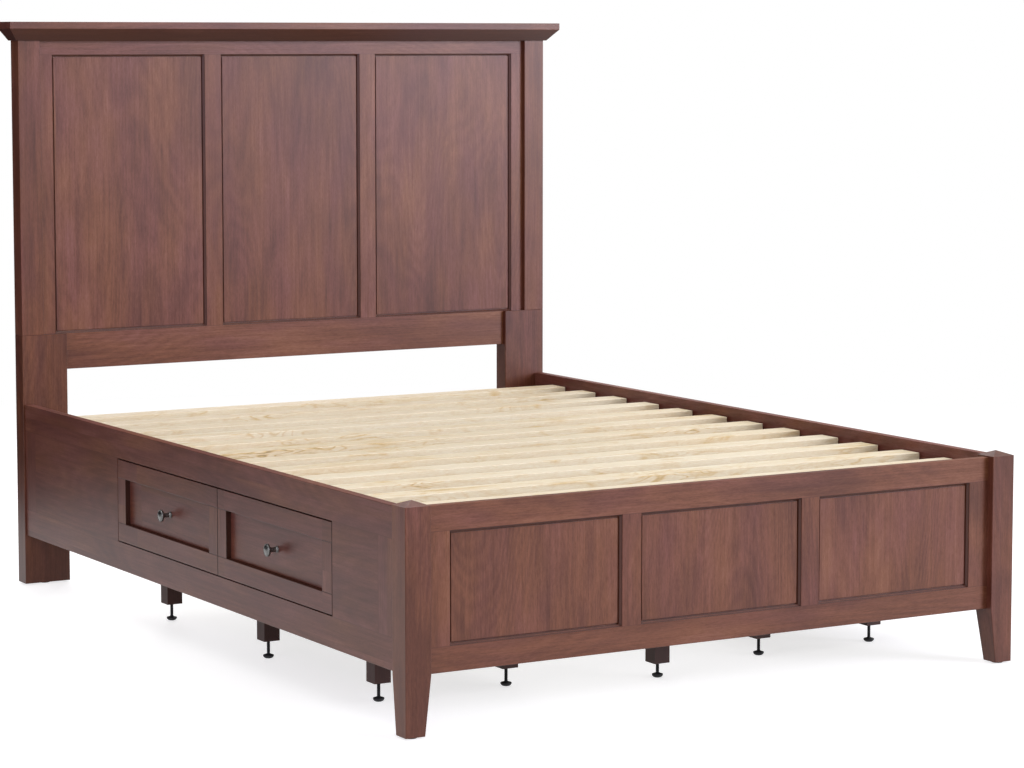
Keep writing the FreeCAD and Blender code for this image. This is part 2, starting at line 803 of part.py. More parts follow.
def make_brackets():
    """Steel angles in the inner corners between rails and posts, with their bolts."""
    pieces = []
    leg = bracket_leg
    wall = bracket_thickness
    z0 = bracket_bottom
    z1 = bracket_bottom + bracket_height
    for _, side in SIDES:
        for _, end in ENDS:
            x = side * rail_inner_x
            y = head_y if end > 0 else rail_foot_y
            on_rail = block(x, x - side * wall, y, y - end * leg, z0, z1)
            on_post = block(x, x - side * leg, y, y - end * wall, z0, z1)
            angle = on_rail.fuse(on_post).removeSplitter()
            for start, direction, _ in bracket_bolt_places():
                back = start - direction * overrun
                radius = bolt_radius + bolt_hole_clearance
                if (start - Vector(x, y, start.z)).Length < leg:
                    angle = angle.cut(rod(back, direction, radius, 2 * overrun))
            pieces.append(angle)
    for start, direction, _ in bracket_bolt_places():
        seat = start - direction * wall
        head = rod(seat - direction * bolt_head_height, direction, bolt_head_radius, bolt_head_height)
        shank = rod(seat, direction, bolt_radius, bolt_length)
        pieces.append(head.fuse(shank).removeSplitter())
    save("corner_brackets", pieces)


os.makedirs("parts", exist_ok=True)
make_headboard()
make_crown()
make_footboard()
make_side_rails()
make_deck()
make_drawer_cases()
make_supports()
make_glides()
make_drawers()
make_slide_channels()
make_brackets()
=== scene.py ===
"""Finishes, small metal pieces and studio for a platform storage bed.

The bed is stained cherry with bare pine slats. Lengths are in metres, with +Z up, the headboard at
+Y, and the origin on the floor under the middle of the bed.
"""

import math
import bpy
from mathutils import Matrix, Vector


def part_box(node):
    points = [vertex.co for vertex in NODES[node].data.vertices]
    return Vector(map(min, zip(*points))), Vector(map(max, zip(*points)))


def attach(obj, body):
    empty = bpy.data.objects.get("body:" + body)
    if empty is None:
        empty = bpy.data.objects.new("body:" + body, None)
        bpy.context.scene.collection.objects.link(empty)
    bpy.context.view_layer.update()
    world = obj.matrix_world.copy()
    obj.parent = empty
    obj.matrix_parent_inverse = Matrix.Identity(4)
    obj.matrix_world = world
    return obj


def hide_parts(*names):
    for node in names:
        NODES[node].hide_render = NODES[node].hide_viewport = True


bl_info = {
    "name": "Platform storage bed",
    "version": (1, 0, 0),
    "blender": (4, 5, 0),
    "location": "3D View > Sidebar > Bed",
    "description": "Wood finishes, knobs, levelers and a plain studio for a platform storage bed",
    "category": "Object",
}

from collections import namedtuple

import bpy
import numpy as np
from bpy.props import FloatProperty, FloatVectorProperty, PointerProperty

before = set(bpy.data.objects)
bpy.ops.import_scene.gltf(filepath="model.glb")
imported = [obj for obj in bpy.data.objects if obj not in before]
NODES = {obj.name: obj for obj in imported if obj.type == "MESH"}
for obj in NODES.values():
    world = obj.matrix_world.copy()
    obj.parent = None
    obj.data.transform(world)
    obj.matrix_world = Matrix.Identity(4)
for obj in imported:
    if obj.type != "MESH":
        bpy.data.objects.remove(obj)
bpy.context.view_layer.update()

DRAWERS = ("left_head", "left_foot", "right_head", "right_foot")
X, Y, Z = 0, 1, 2

# Sizes within the solids, which their boxes don't give
SLAT_COUNT = 12
SLAT_WIDTH = 0.070
RAIL_STILE_WIDTH = 0.070
CROWN_FASCIA_HEIGHT = 0.018
DRAWER_MEMBER_WIDTH = 0.046
DRAWER_PANEL_RECESS = 0.012

# Wood
BOARD_JUMP = 7.0  # how far apart the grain of two boards may start
FIBRE_HEIGHT = 0.0004
FIBRE_ROUGHNESS = 0.12  # how much the roughness varies with the fibres
PORE_STRENGTH = (0.90, 1.25, 1.95)  # how much the pores change red, green and blue
RUBBED_BAND = (0.0015, 0.0003)  # how far below a top edge the rubbed lacquer starts and is full
RUBBED_ROUGHNESS = 0.40
JOINT_CORE = 0.3  # share of a joint line's reach where it is full
PAINTED_LIGHT_SKIN = (0.0005, 0.0001)  # how far under a post's outer face the painted light starts and is full
CROWN_PAINTED_SHADE_TURN = (0.0005, -0.0015)  # heights over the fascia's foot where the painted shade of the turned-in underside starts and is full
SLAT_PAINTED_LIGHT_BAND = (0.0002, 0.0025)  # how far below a slat's top the painted light of its edges starts and is full
SIDE_WARMTH = -0.08  # of side rails and drawer fronts
# Painted light: tints that set the slats' tops and edges apart as the lamps would light them
SLAT_TOP_PAINTED_LIGHT = (1.04, 1.055, 1.14, 1.0)
SLAT_EDGE_PAINTED_LIGHT = (1.04, 1.05, 1.075, 1.0)

# Levelers, from the floor up: (radius, height, rounding)
PAD_PROFILE = (
    (0.0, 0.0, 0.0),
    (0.0085, 0.0, 0.0025),
    (0.0128, 0.0045, 0.0018),
    (0.0128, 0.0080, 0.0012),
    (0.0062, 0.0100, 0.0012),
    (0.0042, 0.0112, 0.0006),
    (0.0, 0.0112, 0.0),
)
ROD_RADIUS = 0.004
ROD_FOOT = 0.0100
THREAD_DEPTH_SHARE = 0.45  # of the pitch

# Studio
WHITE = (1.0, 1.0, 1.0, 1.0)
PLAIN_LIGHT = (1.0, 1.0, 1.0)
COOL_LIGHT = (1.0, 0.98, 1.14)
VIOLET_LIGHT = (1.08, 0.88, 1.26)
HIGH_WINDOW_SHARE = 0.19  # of the window's power
LAMP_AIM = (0, 0, 0.6)
FLOOR_HALF = 30.0
FLOOR_LIFT = 0.707
FLOOR_FADE = (2.4, 5.0)  # distances from the middle where the floor starts and ends turning white
CARD_LEFT, CARD_RIGHT, CARD_Y, CARD_HEIGHT = -6.5, 0.2, 2.25, 3.5
CAMERA_PLACE = (-3.7857, -6.6103, 1.4445)
CAMERA_DOWN = 5.446  # degrees below level
CAMERA_TURN = -30.387  # degrees about Z
CAMERA_SHIFT = -0.0488

JointLine = namedtuple("JointLine", "cover lightness reach", defaults=(0.7, 1.0, 0.0013))
# Painted light or painted shade: a change of tone past a height or width, in place of how the lamps
# fall
PaintedShading = namedtuple("PaintedShading", "start end axis amount")
# Tones of the wood per board; the outer post value is painted light, a lighter tone on the posts'
# outer side faces in place of lamp light
BoardTonesAndPaintedLight = namedtuple(
    "BoardTonesAndPaintedLight", "post outer_post stile panel moulding top_rail warm top_rail_warm"
)
BOARD_TONES_AND_PAINTED_LIGHT = {
    "headboard": BoardTonesAndPaintedLight(
        post=-0.12, outer_post=0.0, stile=0.02, panel=-0.06, moulding=-0.18, top_rail=0.02,
        warm=0.0, top_rail_warm=-0.12,
    ),
    "footboard": BoardTonesAndPaintedLight(
        post=-0.17, outer_post=0.22, stile=-0.03, panel=-0.06, moulding=-0.23, top_rail=-0.11,
        warm=0.10, top_rail_warm=0.10,
    ),
}


def sizes_of(node):
    """Lowest corner, highest corner and middle of a node as arrays."""
    low, high = (np.array(corner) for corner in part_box(node))
    return low, high, (low + high) / 2


def set_inputs(tree, made, inputs):
    """Give inputs of a shader node plain values, or outputs to link from."""
    for name, value in inputs.items():
        socket = made.inputs[name]
        if isinstance(value, bpy.types.NodeSocket):
            tree.links.new(value, socket)
        else:
            socket.default_value = value


def add_node(tree, kind, inputs=None, **settings):
    """Shader node with its settings and inputs."""
    made = tree.nodes.new("ShaderNode" + kind)
    for name, value in settings.items():
        setattr(made, name, value)
    set_inputs(tree, made, inputs or {})
    return made


def calc(tree, operation, *values):
    """Output of a Math node."""
    return add_node(tree, "Math", dict(enumerate(values)), operation=operation).outputs[0]


def vector_calc(tree, operation, *values):
    """Output of a Vector Math node."""
    return add_node(tree, "VectorMath", dict(enumerate(values)), operation=operation).outputs[0]


def scaled(tree, vector, scale):
    """A vector times a number."""
    inputs = {0: vector, "Scale": scale}
    return add_node(tree, "VectorMath", inputs, operation="SCALE").outputs[0]


def mix(tree, kind, factor, a, b, blend="MIX"):
    """Output of a Mix node."""
    inputs = {"Factor": factor, "A": a, "B": b}
    return add_node(tree, "Mix", inputs, data_type=kind, blend_type=blend).outputs["Result"]


def fade(tree, value, start, end, low=0.0, high=1.0, **settings):
    """Low up to start, high past end, and in between from one to the other."""
    inputs = {"Value": value, "From Min": start, "From Max": end, "To Min": low, "To Max": high}
    return add_node(tree, "MapRange", inputs, **settings).outputs["Result"]


def distance_from(tree, value, position):
    """How far a value is from a position, either way."""
    return calc(tree, "ABSOLUTE", calc(tree, "SUBTRACT", value, position))


def excess(tree, value, threshold, gain):
    """How far a value is over a threshold, times a gain, and 0 below it."""
    over = calc(tree, "SUBTRACT", value, threshold)
    return calc(tree, "MAXIMUM", calc(tree, "MULTIPLY", over, gain), 0.0)


def bands(tree, value, pace):
    """Even waves along a value, from 0 to 1."""
    wave = calc(tree, "SINE", calc(tree, "MULTIPLY", value, pace))
    return calc(tree, "MULTIPLY_ADD", wave, 0.5, 0.5)


def stretched(tree, place, share):
    """Grain coordinates drawn out along the grain, which runs along Z."""
    return vector_calc(tree, "MULTIPLY", place, (1.0, 1.0, share))


def noise(tree, place, scale, detail=2.0, roughness=0.5, distortion=0.0, stretch=None):
    """Value of a Noise Texture, drawn out along the grain where stretch gives a share."""
    inputs = {
        "Vector": stretched(tree, place, stretch) if stretch else place,
        "Scale": scale,
        "Detail": detail,
        "Roughness": roughness,
        "Distortion": distortion,
    }
    return add_node(tree, "TexNoise", inputs).outputs[0]


def ramp(tree, value, stops):
    """Colour from a value through (position, colour) stops."""
    made = add_node(tree, "ValToRGB", {"Fac": value})
    band = made.color_ramp
    while len(band.elements) < len(stops):
        band.elements.new(1.0)
    for element, (position, colour) in zip(band.elements, stops):
        element.position = position
        element.color = (*colour, 1.0)
    return made.outputs[0]


def new_material(name):
    """Empty material with its tree, its Principled shader and its output."""
    material = bpy.data.materials.new(name)
    material.use_nodes = True
    tree = material.node_tree
    tree.nodes.clear()
    shader = add_node(tree, "BsdfPrincipled")
    output = add_node(tree, "OutputMaterial", {"Surface": shader.outputs[0]})
    return material, tree, shader, output


def object_place(tree):
    """Object coordinates, which are the bed's own."""
    return add_node(tree, "TexCoord").outputs["Object"]


def board_grain(tree, place, grain, cells, shift=(0.0, 0.0, 0.0)):
    """Coordinates with the grain along Z and a start of its own for each board, and its layers.

    Boards are told apart by the cell of a coarse grid that they lie in; a cell size of 0 leaves
    that axis out.
    """
    shares = tuple(1.0 / cell if cell else 0.0 for cell in cells)
    starts = tuple(move * share if share else 0.5 for move, share in zip(shift, shares))
    cell = vector_calc(tree, "FLOOR", vector_calc(tree, "MULTIPLY_ADD", place, shares, starts))
    dice = add_node(tree, "TexWhiteNoise", {"Vector": cell}, noise_dimensions="3D")
    jump = scaled(tree, dice.outputs["Color"], BOARD_JUMP)
    split = add_node(tree, "SeparateXYZ", {0: vector_calc(tree, "ADD", place, jump)})
    order = {"X": (Y, Z, X), "Y": (X, Z, Y), "Z": (X, Y, Z)}[grain]
    axes = {slot: split.outputs[axis] for slot, axis in enumerate(order)}
    turned = add_node(tree, "CombineXYZ", axes).outputs[0]
    return turned, {**grain_layers(tree, turned), "dice": dice.outputs["Value"]}


def grain_layers(tree, place):
    """Blotches, streaks, figure, long lines and fibres of a plain-sawn board, each from 0 to 1."""
    blotch = noise(tree, place, scale=8.0, detail=4.0, roughness=0.58, stretch=0.36)
    streak = noise(
        tree, place, scale=40.0, detail=3.0, roughness=0.6, distortion=0.3, stretch=0.09)
    swirl = noise(tree, place, scale=5.0, detail=1.0, roughness=0.4, distortion=0.4, stretch=0.17)
    figure = bands(tree, swirl, pace=190.0)
    line = noise(
        tree, place, scale=210.0, detail=3.0, roughness=0.7, distortion=0.1, stretch=0.02)
    fibre = noise(tree, place, scale=400.0, detail=3.0, roughness=0.75, stretch=0.17)
    return {"blotch": blotch, "streak": streak, "figure": figure, "line": line, "fibre": fibre}


def weighted(tree, start, layers, **weights):
    """Start value plus each named layer, measured from its middle, times its weight."""
    total = start
    for name, weight in weights.items():
        from_middle = calc(tree, "SUBTRACT", layers[name], 0.5)
        total = calc(tree, "MULTIPLY_ADD", from_middle, weight, total)
    return total


def grain_bump(tree, layers, strength):
    """Normal that shows the fibres."""
    inputs = {"Strength": strength, "Distance": FIBRE_HEIGHT, "Height": layers["fibre"]}
    return add_node(tree, "Bump", inputs).outputs[0]


def joint_lines(tree, place, joints, reach):
    """1 on each joint plane, falling to 0 at its reach.

    A joint is (axis, position), or (axis, position, other axis, middle, half length) where it ends.
    """
    axes = add_node(tree, "SeparateXYZ", {0: place}).outputs
    nearest = 1.0
    for axis, position, *ends in joints:
        away = distance_from(tree, axes[axis], position)
        if ends:
            other, middle, half = ends
            past_end = calc(tree, "SUBTRACT", distance_from(tree, axes[other], middle), half)
            away = calc(tree, "MAXIMUM", away, past_end)
        nearest = calc(tree, "MINIMUM", nearest, away)
    return fade(tree, nearest, reach * JOINT_CORE, reach, low=1.0, high=0.0)


def place_step(tree, place, start, end, axis=Z):
    """0 at the start and 1 at the end of a way along an axis; on X both count from the middle."""
    along = add_node(tree, "SeparateXYZ", {0: place}).outputs[axis]
    if axis == X:
        along = calc(tree, "ABSOLUTE", along)
    return fade(tree, along, start, end)


def strip_edges(node, axis, gap=0.02):
    """Joints where the strips of a node begin and end along an axis.

    The strips are its points in groups that lie further apart than the gap.
    """
    mesh = NODES[node].data
    points = np.empty(len(mesh.vertices) * 3, np.float32)
    mesh.vertices.foreach_get("co", points)
    points = np.unique(points.reshape(-1, 3)[:, axis].round(4))
    breaks = np.flatnonzero(np.diff(points) > gap)
    edges = np.concatenate([points[:1], points[breaks], points[breaks + 1], points[-1:]])
    return [(axis, float(edge)) for edge in edges]


class BedWoodSettings(bpy.types.PropertyGroup):
    """Colours and gloss of the wood."""

    dark: FloatVectorProperty(
        name="Dark grain", description="Stain in the dark streaks",
        subtype="COLOR", size=3, min=0, max=1, default=(0.082, 0.0230, 0.0120))
    middle: FloatVectorProperty(
        name="Stain", description="Stain between the streaks",
        subtype="COLOR", size=3, min=0, max=1, default=(0.146, 0.0500, 0.0275))
    light: FloatVectorProperty(
        name="Light grain", description="Stain over the lightest wood",
        subtype="COLOR", size=3, min=0, max=1, default=(0.212, 0.0860, 0.0520))
    cool_cast: FloatVectorProperty(
        name="Cool cast", description="Tint of the purple-brown clouds in the stain",
        subtype="COLOR", size=3, min=0, max=1, default=(0.90, 0.83, 1.0))
    warm_cast: FloatVectorProperty(
        name="Warm cast", description="Tint of the orange-brown clouds in the stain",
        subtype="COLOR", size=3, min=0, max=1, default=(1.0, 0.98, 0.78))
    gloss: FloatProperty(
        name="Roughness", description="Roughness of the lacquer",
        subtype="FACTOR", min=0.05, max=1, default=0.34)
    sheen: FloatProperty(
        name="Sheen", description="Strength of the lacquer's gloss",
        subtype="FACTOR", min=0, max=1, default=0.34)
    pine: FloatVectorProperty(
        name="Pine", description="Bare pine of the slats",
        subtype="COLOR", size=3, min=0, max=1, default=(0.840, 0.775, 0.560))
    pine_figure: FloatVectorProperty(
        name="Pine figure", description="Summer growth and knots in the pine",
        subtype="COLOR", size=3, min=0, max=1, default=(0.665, 0.495, 0.235))


class BedMetalSettings(bpy.types.PropertyGroup):
    """Sizes and colours of the metal pieces."""

    pewter: FloatVectorProperty(
        name="Pewter", description="Knobs",
        subtype="COLOR", size=3, min=0, max=1, default=(0.16, 0.16, 0.155))
    black: FloatVectorProperty(
        name="Black steel", description="Levelers",
        subtype="COLOR", size=3, min=0, max=1, default=(0.018, 0.018, 0.019))
    rim_roll: FloatProperty(
        name="Knob rim roll", description="Radius of the roll round the knob's cap",
        unit="LENGTH", min=0.0005, max=0.003, default=0.0010)
    thread_pitch: FloatProperty(
        name="Thread pitch", description="Rise of the levelers' thread per turn",
        unit="LENGTH", min=0.0005, max=0.003, default=0.00125)


class BedStageSettings(bpy.types.PropertyGroup):
    """Camera and light."""

    lens: FloatProperty(
        name="Focal length", description="Lens in millimetres", min=20, max=300, default=108.42)
    ambient: FloatProperty(
        name="Ambient", description="Even light from all round", min=0, max=3, default=0.10)
    overhead: FloatProperty(
        name="Overhead light", description="Power of the lamp above the slats",
        unit="POWER", min=0, max=5000, default=252)
    window: FloatProperty(
        name="Window light", description="Power of the cool lamps in front, to the right",
        unit="POWER", min=0, max=5000, default=870)
    fill: FloatProperty(
        name="Fill light", description="Power of the lamp in front, to the left",
        unit="POWER", min=0, max=5000, default=80)
    side: FloatProperty(
        name="Side light", description="Power of the lamp on the left",
        unit="POWER", min=0, max=5000, default=75)
    back: FloatProperty(
        name="Back light", description="Power of the lamp behind the headboard",
        unit="POWER", min=0, max=5000, default=220)


def stained_wood(name, grain, cells, shift=(0.0, 0.0, 0.0), tone=0.0, warm=0.0, place_of=None,
                 joints=(), line=JointLine(), shade=None, rubbed=None):
    """Cherry with a red-brown stain under satin lacquer, lighter with tone, oranger with warm.

    The stain has a thin dark line along each joint, which is painted shade where it covers a recess
    wall or reaches wide under the crown. Past a shade's height or width its tone changes, as
    painted light or painted shade. The lacquer is rubbed dull at the height called rubbed.
    """
    wood = bpy.context.scene.bed_wood
    material, tree, shader, _ = new_material(name)
    real_place = object_place(tree)
    place = place_of(tree, real_place) if place_of else real_place
    turned, layers = board_grain(tree, place, grain, cells, shift)
    value = weighted(tree, 0.5 + tone, layers, dice=0.10, blotch=1.15, streak=0.75, figure=0.12)
    # Painted light or painted shade, by height or width
    if shade:
        past = place_step(tree, real_place, shade.start, shade.end, shade.axis)
        value = calc(tree, "MULTIPLY_ADD", past, shade.amount, value)
    stain = ramp(tree, value, ((0.08, wood.dark), (0.5, wood.middle), (0.92, wood.light)))
    clouds = noise(tree, turned, scale=12.0, stretch=0.28)
    warmth = calc(tree, "ADD", clouds, warm)
    cast = ramp(tree, warmth, ((0.36, wood.cool_cast), (0.64, wood.warm_cast)))
    tinted = mix(tree, "RGBA", 1.0, stain, cast, "MULTIPLY")
    depth = weighted(tree, 0.0, layers, line=0.85, fibre=1.05)
    pores = scaled(tree, PORE_STRENGTH, depth)
    colour = vector_calc(tree, "MULTIPLY_ADD", tinted, pores, tinted)
    if joints:
        deep = tuple(channel * line.lightness for channel in wood.dark)
        lines = joint_lines(tree, real_place, joints, line.reach)
        cover = calc(tree, "MULTIPLY", lines, line.cover)
        colour = mix(tree, "RGBA", cover, colour, (*deep, 1.0))
    least_rough = wood.gloss - FIBRE_ROUGHNESS / 2
    rough = calc(tree, "MULTIPLY_ADD", layers["fibre"], FIBRE_ROUGHNESS, least_rough)
    if rubbed:
        start, full = (rubbed - below for below in RUBBED_BAND)
        dull = place_step(tree, real_place, start, full)
        rough = calc(tree, "MULTIPLY_ADD", dull, RUBBED_ROUGHNESS, rough)
    set_inputs(tree, shader, {
        "Base Color": colour,
        "Roughness": rough,
        "Specular IOR Level": wood.sheen,
        "Normal": grain_bump(tree, layers, 0.25),
    })
    return material


def bare_pine(name):
    """Planed pine with pale figure, a few amber streaks and small knots, and painted light on the
    slats' tops and edges.
    """
    wood = bpy.context.scene.bed_wood
    material, tree, shader, _ = new_material(name)
    low, high, _ = sizes_of("mattress_slats")
    pitch = (high[Y] - low[Y] - SLAT_WIDTH) / (SLAT_COUNT - 1)
    before_slat = 0.04  # each slat's cell starts in the gap before it
    place = object_place(tree)
    turned, layers = board_grain(tree, place, "X", (0, pitch, 0), (0, before_slat - low[Y], 0))
    knots = add_node(tree, "TexVoronoi", {
        "Vector": stretched(tree, turned, 0.6),
        "Scale": 5.5,
        "Randomness": 1.0,
    })
    narrowing, softness = 12.0, 0.15  # a knot fills a twelfth of its cell
    away = calc(tree, "MULTIPLY", knots.outputs["Distance"], narrowing)
    knot = calc(tree, "SMOOTH_MAX", calc(tree, "SUBTRACT", 1.0, away), 0.0, softness)
    amber = noise(
        tree, turned, scale=26.0, detail=3.0, roughness=0.65, distortion=0.8, stretch=0.22)
    amber = excess(tree, amber, threshold=0.56, gain=4.0)
    patch = noise(tree, turned, scale=9.0, stretch=0.28)
    patch = excess(tree, patch, threshold=0.50, gain=5.0)
    curl = noise(tree, turned, scale=24.0, distortion=0.8, stretch=0.18)
    curl = calc(tree, "POWER", bands(tree, curl, pace=60.0), 4.0)
    crest = calc(tree, "MULTIPLY", curl, calc(tree, "MINIMUM", patch, 1.0))
    value = weighted(tree, 0.20, layers, streak=0.18, blotch=0.10, line=0.30, fibre=0.65, dice=0.08)
    for mark, weight in ((crest, 0.52), (amber, 0.60), (knot, 0.60)):
        value = calc(tree, "MULTIPLY_ADD", mark, weight, value)
    knot_colour = tuple(channel * 0.45 for channel in wood.pine_figure)
    colour = ramp(tree, value, ((0.0, wood.pine), (0.62, wood.pine_figure), (1.0, knot_colour)))
    # Painted light: the slats' tops and edges are tinted apart by height
    start, full = (high[Z] - below for below in SLAT_PAINTED_LIGHT_BAND)
    edge = place_step(tree, place, start, full)
    tint = mix(tree, "RGBA", edge, SLAT_TOP_PAINTED_LIGHT, SLAT_EDGE_PAINTED_LIGHT)
    set_inputs(tree, shader, {
        "Base Color": mix(tree, "RGBA", 1.0, colour, tint, "MULTIPLY"),
        "Roughness": 0.65,
        "Specular IOR Level": 0.20,
        "Normal": grain_bump(tree, layers, 0.3),
    })
    return material


def plain_wood(name, grain, cells, shift, stops, weights, inputs):
    """Wood with one ramp of colours over weighted layers of grain."""
    material, tree, shader, _ = new_material(name)
    _, layers = board_grain(tree, object_place(tree), grain, cells, shift)
    value = weighted(tree, 0.5, layers, **weights)
    set_inputs(tree, shader, {"Base Color": ramp(tree, value, stops), **inputs})
    return material


def plain_birch(name):
    """Clear lacquered plywood."""
    stops = (
        (0.1, (0.50, 0.34, 0.18)),
        (0.5, (0.66, 0.49, 0.30)),
        (0.9, (0.76, 0.61, 0.42)),
    )
    weights = {"blotch": 0.4, "streak": 0.5, "figure": 0.25, "fibre": 0.3}
    return plain_wood(name, "Y", (0.5, 1.0, 0), (0, 0, 0), stops, weights, {"Roughness": 0.42})


def dark_hardwood(name, grain, cells, shift=(0.0, 0.0, 0.0)):
    """Darker stained hardwood of the parts under the slats."""
    stops = (
        (0.1, (0.030, 0.014, 0.011)),
        (0.5, (0.062, 0.027, 0.021)),
        (0.9, (0.100, 0.046, 0.034)),
    )
    weights = {"dice": 0.2, "blotch": 0.4, "streak": 0.6, "fibre": 0.4}
    inputs = {"Roughness": 0.5, "Specular IOR Level": 0.25}
    return plain_wood(name, grain, cells, shift, stops, weights, inputs)


def mottled(name, stops, scale, detail, least_rough, rough_span, inputs):
    """Coated or plated surface whose colour and roughness follow one fine mottle."""
    material, tree, shader, _ = new_material(name)
    mottle = noise(tree, object_place(tree), scale, detail, roughness=0.6)
    set_inputs(tree, shader, {
        "Base Color": ramp(tree, mottle, stops),
        "Roughness": calc(tree, "MULTIPLY_ADD", mottle, rough_span, least_rough),
        **inputs,
    })
    return material


def plated_steel(name):
    """Zinc plate with a faint mottled spangle."""
    stops = ((0.3, (0.52, 0.52, 0.53)), (0.7, (0.70, 0.70, 0.71)))
    return mottled(
        name, stops, scale=160.0, detail=3.0, least_rough=0.22, rough_span=0.2,
        inputs={"Metallic": 1.0})


def pewter(name):
    """Antique pewter, in mottled darker and brighter tones."""
    metal = bpy.context.scene.bed_metal
    dark = tuple(channel * 0.55 for channel in metal.pewter)
    bright = tuple(min(1.0, channel * 1.6) for channel in metal.pewter)
    stops = ((0.25, dark), (0.50, metal.pewter), (0.80, bright))
    return mottled(
        name, stops, scale=260.0, detail=4.0, least_rough=0.16, rough_span=0.25,
        inputs={"Metallic": 1.0})


def black_coat(name):
    """Black coated steel or black nylon, slightly mottled."""
    metal = bpy.context.scene.bed_metal
    light = tuple(channel * 1.8 for channel in metal.black)
    stops = ((0.35, metal.black), (0.75, light))
    return mottled(
        name, stops, scale=300.0, detail=3.0, least_rough=0.38, rough_span=0.2,
        inputs={"Specular IOR Level": 0.25})


def dress(node, material):
    """Give a CAD node one finish."""
    slots = NODES[node].data.materials
    if len(slots) == 0:
        slots.append(material)
    for index in range(len(slots)):
        slots[index] = material


def beside(width):
    """Joints at the same distance on both sides of the middle."""
    return [(X, -width), (X, width)]


def stain_panelled_board(board, joints, post_joints):
    """Stain the posts, stiles, panels, mouldings and top rail of the headboard or footboard."""
    tones = BOARD_TONES_AND_PAINTED_LIGHT[board]
    upright = {"grain": "Z", "cells": (0.25, 2.0, 0), "shift": (0.125, 0, 0), "warm": tones.warm}
    shade = None
    # Painted light: the posts' outer side faces, on both sides, get a lighter tone
    if tones.outer_post:
        face = sizes_of(board + "_posts")[1][X]
        start, full = (face - under for under in PAINTED_LIGHT_SKIN)
        shade = PaintedShading(start, full, X, tones.outer_post)
    dress(board + "_posts", stained_wood(
        f"Cherry {board} post", tone=tones.post, joints=post_joints, shade=shade, **upright))
    dress(board + "_stiles", stained_wood(
        f"Cherry {board} stile", tone=tones.stile, joints=joints, **upright))
    dress(board + "_panels", stained_wood(
        f"Cherry {board} panel", grain="Z", cells=(0.46, 1.0, 0), shift=(0.23, 0, 0),
        tone=tones.panel, warm=tones.warm))
    mouldings = board + "_panel_mouldings"
    moulding_edges = strip_edges(mouldings, X) + strip_edges(mouldings, Z)
    dress(mouldings, stained_wood(
        f"Cherry {board} moulding", tone=tones.moulding, joints=moulding_edges,
        line=JointLine(cover=0.85, lightness=0.55, reach=0.0028), **upright))
    top_rail = board + "_top_rail"
    dress(top_rail, stained_wood(
        f"Cherry {board} top rail", grain="X", cells=(0, 1.0, 0.5), shift=(0, 0.5, 0.1),
        tone=tones.top_rail, warm=tones.top_rail_warm, joints=joints,
        rubbed=sizes_of(top_rail)[1][Z]))


def stain_crown():
    """Stain the crown, with painted shade where its underside turns in, and a soft painted shade
    along its foot over the top rail.
    """
    low, high, _ = sizes_of("headboard_crown")
    # Painted shade: darker past the fascia's foot, and a wide dark line along the crown's foot
    start, full = (high[Z] - CROWN_FASCIA_HEIGHT + over for over in CROWN_PAINTED_SHADE_TURN)
    dress("headboard_crown", stained_wood(
        "Cherry crown", grain="X", cells=(0, 0, 0), tone=-0.12,
        shade=PaintedShading(start, full, Z, amount=-0.46), rubbed=high[Z],
        joints=[(Z, low[Z])], line=JointLine(cover=0.55, lightness=0.5, reach=0.045)))


def stain_side_rails():
    """Stain the framed boards of both side rails."""
    low, high, _ = sizes_of("side_rail_top_boards")
    long_joints = [(Z, low[Z]), (Z, sizes_of("side_rail_bottom_boards")[1][Z])]
    stile_joints = [(Y, low[Y] + RAIL_STILE_WIDTH), (Y, high[Y] - RAIL_STILE_WIDTH)]
    joints = long_joints + stile_joints
    along = stained_wood(
        "Cherry along", grain="Y", cells=(1.0, 0, 0.3), shift=(0, 0, 0.15), warm=SIDE_WARMTH,
        joints=long_joints, rubbed=high[Z])
    dress("side_rail_top_boards", along)
    dress("side_rail_bottom_boards", along)
    dress("side_rail_stiles", stained_wood(
        "Cherry rail upright", grain="Z", cells=(1.0, 1.0, 0), warm=SIDE_WARMTH, joints=joints))
    dress("side_rail_end_panels", stained_wood(
        "Cherry rail panel", grain="Y", cells=(1.0, 1.0, 0), tone=-0.02, warm=SIDE_WARMTH,
        joints=joints))


class BED_OT_stained_boards(bpy.types.Operator):
    """Stain and lacquer every board of headboard, footboard and side rails"""

    bl_idname = "bed.stained_boards"
    bl_label = "Stained boards"

    def execute(self, context):
        lower_low, lower_high, _ = sizes_of("headboard_lower_rail")
        leg_top = (Z, lower_high[Z])
        head_sides = beside(sizes_of("headboard_stiles")[1][X])
        head_joints = [leg_top, (Z, sizes_of("headboard_top_rail")[0][Z]), *head_sides]
        stain_panelled_board("headboard", head_joints, [leg_top, *head_sides])
        foot_sides = beside(sizes_of("footboard_top_rail")[1][X])
        bottom_rail_top = (Z, sizes_of("footboard_bottom_rail")[1][Z])
        top_rail_foot = (Z, sizes_of("footboard_top_rail")[0][Z])
        foot_joints = [bottom_rail_top, top_rail_foot, *foot_sides]
        stain_panelled_board("footboard", foot_joints, foot_sides)
        leg_joints = [leg_top, (X, lower_low[X]), (X, lower_high[X])]
        dress("headboard_legs", stained_wood(
            "Cherry legs", grain="Z", cells=(0.5, 0, 0), tone=-0.31, warm=0.11,
            joints=leg_joints))
        dress("headboard_lower_rail", stained_wood(
            "Cherry lower rail", grain="X", cells=(0, 0, 0), tone=-0.03, warm=0.07,
            joints=leg_joints))
        dress("footboard_bottom_rail", stained_wood(
            "Cherry foot rail", grain="X", cells=(0, 0.7, 0), tone=-0.15, warm=0.10,
            joints=foot_joints))
        stain_crown()
        stain_side_rails()
        return {"FINISHED"}


